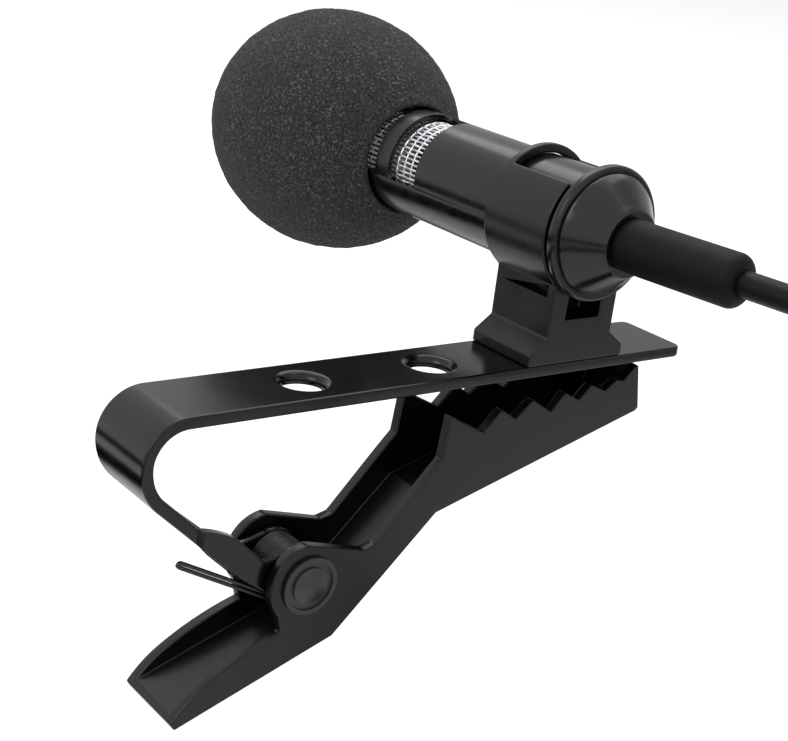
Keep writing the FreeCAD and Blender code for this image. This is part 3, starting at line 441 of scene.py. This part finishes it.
def make_mesh(material):
    """Woven wire sleeve: ring wires and lengthwise wires that pass over and under them."""
    middle = 3.62 * MM
    ring_pitch = 0.89 * MM
    rings = 11
    bars = 60
    first = 12.56 * MM
    sleeve_ends = (12.32 * MM, 22.08 * MM)
    ring_wave = 0.035 * MM
    bar_wave = 0.07 * MM
    runs = []
    for ring in range(rings):
        along = first + ring * ring_pitch
        points = []
        for bar in range(bars):
            angle = math.tau * bar / bars
            wave = middle + (ring_wave if (bar + ring) % 2 else -ring_wave)
            points.append(Vector((wave * math.sin(angle), along, AXIS_HEIGHT + wave * math.cos(angle))))
        runs.append((points, True))
    for bar in range(bars):
        angle = math.tau * bar / bars
        points = []
        for ring in range(-1, rings + 1):
            wave = middle + (-bar_wave if (bar + ring) % 2 else bar_wave)
            along = min(max(first + ring * ring_pitch, sleeve_ends[0]), sleeve_ends[1])
            points.append(Vector((wave * math.sin(angle), along, AXIS_HEIGHT + wave * math.cos(angle))))
        runs.append((points, False))
    data = wire_curve("woven_mesh", runs, 0.1 * MM, sides=1, steps=3)
    mesh = add_piece("woven_mesh", data, "microphone", ["mesh_sleeve"])
    data.materials.append(material)


def trim_ears(shape):
    """Thins the strip's ears from inside and slims their long edges, the near ear's less than the far one's.

    Along and out are measured in millimetres from where the sloping return leaves the bend.
    """
    slope = math.radians(42)
    return_start = Vector((-33.841, 0, -4.778)) * MM
    onward = Vector((math.cos(slope), 0, -math.sin(slope)))
    outward = Vector((-math.sin(slope), 0, -math.cos(slope)))
    ears_from, walls_from, edges_to = 5.1, 6.2, 11.2
    deepest, highest = -4, 3
    old_wall_low, old_wall_high, new_wall = 1.6, 1.75, 1.98
    outer_edge = 0.9
    inner_face = -0.02
    near_stretch, far_stretch = 1.25, 0.05
    for vertex in shape.verts:
        place = vertex.co - return_start
        along = place.dot(onward) / MM
        out = place.dot(outward) / MM
        if along < ears_from or not deepest < out < highest:
            continue
        if old_wall_low < abs(vertex.co.y) / MM < old_wall_high and along > walls_from:
            vertex.co.y = math.copysign(new_wall * MM, vertex.co.y)
        if along < edges_to:
            wanted = min(out, outer_edge)
            if wanted < inner_face:
                wanted *= near_stretch if vertex.co.y < 0 else far_stretch
            vertex.co += outward * (wanted - out) * MM


def make_spring(material):
    """Close-wound spring with a long doubled leg beside the strip. Its short leg on the jaw's floor turns
    with the jaw about the pin."""
    wire = 0.3 * MM
    radius = 1.85 * MM
    half = 1.8 * MM
    pitch = 0.301 * MM
    per_turn = 16
    turns = 11.953
    first_angle = math.radians(225)
    lean = math.radians(28)
    long_leg = 9.6 * MM
    short_leg = 4.6 * MM
    leg_gap = 0.32 * MM
    loop_reach = 0.35 * MM
    half_step = math.pi / per_turn
    grow = 1 / math.cos(half_step)

    def place_at(turn, out=1.0):
        angle = first_angle - math.tau * turn
        along = half - pitch * turn
        return PIN + Vector((radius * out * math.cos(angle), along, radius * out * math.sin(angle)))
    start = place_at(0)
    leg_way = Vector((1, 0, -1)).normalized()
    points = [start, start - leg_way * radius * math.tan(half_step)]
    points += [place_at((step + 0.5) / per_turn, grow) for step in range(int(turns * per_turn))]
    end = PIN + Vector((-radius * math.sin(lean), half - pitch * turns, -radius * math.cos(lean)))
    way = Vector((-math.cos(lean), 0, math.sin(lean)))
    side = Vector((-math.sin(lean), 0, -math.cos(lean))) * leg_gap
    middle = end + way * 5 * MM
    tip = end + way * long_leg
    loop = tip + way * loop_reach
    points += [end, middle, tip, loop + side * 0.05]
    points += [loop + side * 0.95, tip + side, middle + side, end + side]
    data = wire_curve("wound_spring", [(points, False)], wire / 2, sides=2, steps=3)
    add_piece("wound_spring", data, "clip", ["torsion_spring"])
    data.materials.append(material)
    leg_points = [start, start + leg_way * short_leg]
    leg = wire_curve("spring_leg", [(leg_points, False)], wire / 2, sides=2, order=2)
    add_piece("spring_leg", leg, "jaw")
    leg.materials.append(material)


def by_ear_taper(at):
    """True where the sloping return widens into the ears."""
    return -31.5 < at.x / MM < -27.5 and -9.5 < at.z / MM < -5.0


def by_recess(at):
    """True at the height of the holder's recess, under the ring."""
    return 5.7 < at.z / MM < 7.0


def dress_clip():
    steel = black_lacquered_steel()
    strip = eased_copy("spring_strip", "sprung_strip", "clip", 0.18 * MM, 3,
                       reshape=trim_ears, left=by_ear_taper)
    paint(strip, steel)
    jaw = eased_copy("lower_jaw", "toothed_jaw", "jaw", 0.13 * MM, 3)
    paint(jaw, black_lacquered_jaw())
    oxide = black_oxide_pin()
    pin = eased_copy("pivot_pin", "domed_pin", "jaw", 0.02 * MM, sharp=60)
    paint(pin, oxide)
    paint(nodes["holder_rivet"], oxide)
    holder = eased_copy("mic_holder", "cradle", "clip", 0.15 * MM, 3, left=by_recess)
    paint(holder, moulded_abs())
    make_spring(black_spring_wire())


def dress_microphone(inner):
    barrel = satin_painted_barrel()
    paint(eased_copy("mic_barrel", "slotted_barrel", "microphone", 0.05 * MM), barrel)
    paint(eased_copy("rear_ring", "flanged_ring", "microphone", 0.08 * MM), barrel)
    paint(eased_copy("rear_cone", "rear_cone_eased", "microphone", 0.06 * MM),
          glossy_moulded_cone())
    wire = bright_steel_wire()
    make_mesh(wire)
    paint(nodes["front_grille"], wire)
    for name in ("capsule_can", "diaphragm_ring"):
        paint(nodes[name], inner["drawn_aluminium"])
    for name in ("diaphragm_spacer", "backplate_cup", "capsule_holder"):
        paint(nodes[name], inner["moulded_nylon"])
    for name in ("capsule_diaphragm", "capsule_backplate"):
        paint(nodes[name], inner["gilded_film"])
    paint(nodes["capsule_board"], inner["green_board"])
    paint(nodes["signal_lead"], inner["red_insulation"])
    paint(nodes["ground_lead"], inner["white_insulation"])
    make_foam(foam_skin())


def dress_lead(inner, jacket, rubber):
    paint(nodes["strain_relief"], rubber)
    paint(nodes["plug_boot"], rubber)
    paint(nodes["coil_tie"], inner["woven_strap"])
    paint(nodes["plug_shell"], moulded_abs())
    for name in ("plug_sleeve", "plug_ring_rear", "plug_ring_front", "plug_tip"):
        paint(nodes[name], inner["gold_contact"])
    for name in ("insulator_rear", "insulator_middle", "insulator_front"):
        paint(nodes[name], inner["moulded_nylon"])


# Studio

def either(tree, first, second):
    """1 for a ray of the first kind or of the second."""
    return add_node(tree, "ShaderNodeMath", {0: first, 1: second}, operation="MAXIMUM").outputs[0]


def mixed_shader(tree, factor, first, second):
    """Goes from the first shader to the second as the factor goes from 0 to 1."""
    made = add_node(tree, "ShaderNodeMixShader", {0: factor})
    tree.links.new(first.outputs[0], made.inputs[1])
    tree.links.new(second.outputs[0], made.inputs[2])
    return made


def white_stage_material(name):
    """Pale floor that shows as white to the camera and keeps a soft shadow. Reflections show it white too,
    with two dark bands round the object like black cards in a studio, which draw lines on curved steel."""
    bands_centre = (0.063, -0.077, FLOOR_HEIGHT)
    stops = ((0.0, 0.9), (0.235, 1.0), (0.25, 0.0), (0.31, 0.0), (0.33, 1.0), (0.43, 1.0),
             (0.46, 0.0), (0.65, 0.0), (0.8, 1.0))
    material, tree = new_material(name)
    plain = add_node(tree, "ShaderNodeBsdfDiffuse", {"Color": linear("d8d8d8")})
    glow = add_node(tree, "ShaderNodeEmission", {"Color": (1, 1, 1, 1), "Strength": 0.62})
    white = add_node(tree, "ShaderNodeAddShader")
    tree.links.new(plain.outputs[0], white.inputs[0])
    tree.links.new(glow.outputs[0], white.inputs[1])
    path = add_node(tree, "ShaderNodeLightPath")
    place = add_node(tree, "ShaderNodeTexCoord")
    reach = add_node(tree, "ShaderNodeVectorMath", {0: place.outputs["Object"], 1: bands_centre},
                     operation="DISTANCE")
    bands = add_node(tree, "ShaderNodeValToRGB", {"Fac": reach.outputs["Value"]})
    ramp = bands.color_ramp
    while len(ramp.elements) < len(stops):
        ramp.elements.new(0.5)
    for element, (position, level) in zip(ramp.elements, stops):
        element.position = position
        element.color = (level, level, level, 1)
    mirrored = add_node(tree, "ShaderNodeEmission", {"Color": bands.outputs["Color"], "Strength": 1.0})
    seen = either(tree, path.outputs["Is Camera Ray"], path.outputs["Is Transmission Ray"])
    direct = mixed_shader(tree, seen, plain, white)
    finish_material(tree, mixed_shader(tree, path.outputs["Is Glossy Ray"], direct, mirrored))
    return material


def make_floor():
    shape = bmesh.new()
    bmesh.ops.create_grid(shape, x_segments=1, y_segments=1, size=3)
    bmesh.ops.translate(shape, verts=shape.verts, vec=(0, 0, FLOOR_HEIGHT))
    data = bpy.data.meshes.new("floor")
    shape.to_mesh(data)
    shape.free()
    floor = bpy.data.objects.new("floor", data)
    bpy.context.scene.collection.objects.link(floor)
    data.materials.append(white_stage_material("floor_paint"))


def make_world():
    """Plain soft light all round. It is seen as white, and a little darker towards +X in reflections."""
    world = bpy.data.worlds.new("studio")
    bpy.context.scene.world = world
    world.use_nodes = True
    tree = world.node_tree
    tree.nodes.clear()
    path = add_node(tree, "ShaderNodeLightPath")
    seen = either(tree, path.outputs["Is Camera Ray"], path.outputs["Is Glossy Ray"])
    seen = either(tree, seen, path.outputs["Is Transmission Ray"])
    lit = add_node(tree, "ShaderNodeBackground", {"Color": (1, 1, 1, 1), "Strength": 0.4})
    way = add_node(tree, "ShaderNodeTexCoord")
    parts = add_node(tree, "ShaderNodeSeparateXYZ", {"Vector": way.outputs["Generated"]})
    mirrored = spread(tree, parts.outputs["X"], 1.0, 0.6, 0.3, 0.65)
    level = add_node(tree, "ShaderNodeMix", {0: path.outputs["Is Glossy Ray"], 2: 1.0})
    tree.links.new(mirrored, level.inputs[3])
    shown = add_node(tree, "ShaderNodeBackground", {"Color": (1, 1, 1, 1), "Strength": level.outputs[0]})
    add_node(tree, "ShaderNodeOutputWorld", {"Surface": mixed_shader(tree, seen, lit, shown).outputs[0]})


def add_lamp(name, place, size, power):
    """Soft rectangular lamp that faces the object."""
    light = bpy.data.lights.new(name, "AREA")
    light.shape = "RECTANGLE"
    light.size, light.size_y = size
    light.energy = power
    lamp = bpy.data.objects.new(name, light)
    bpy.context.scene.collection.objects.link(lamp)
    lamp.location = place
    lamp.rotation_euler = (Vector(place) * -1).to_track_quat("-Z", "Y").to_euler()


make_camera()
jacket = cable_jacket()
rubber = moulded_rubber()
make_cable(jacket)
inner = capsule_materials()
dress_clip()
dress_microphone(inner)
dress_lead(inner, jacket, rubber)
make_floor()
make_world()
add_lamp("lamp_above", (0.37, 0.33, 0.95), (1.15, 1.05), 6.6)
add_lamp("lamp_left", (-0.7, -0.1, 0.5), (0.5, 0.5), 1.6)
bpy.context.scene.view_settings.view_transform = "Standard"
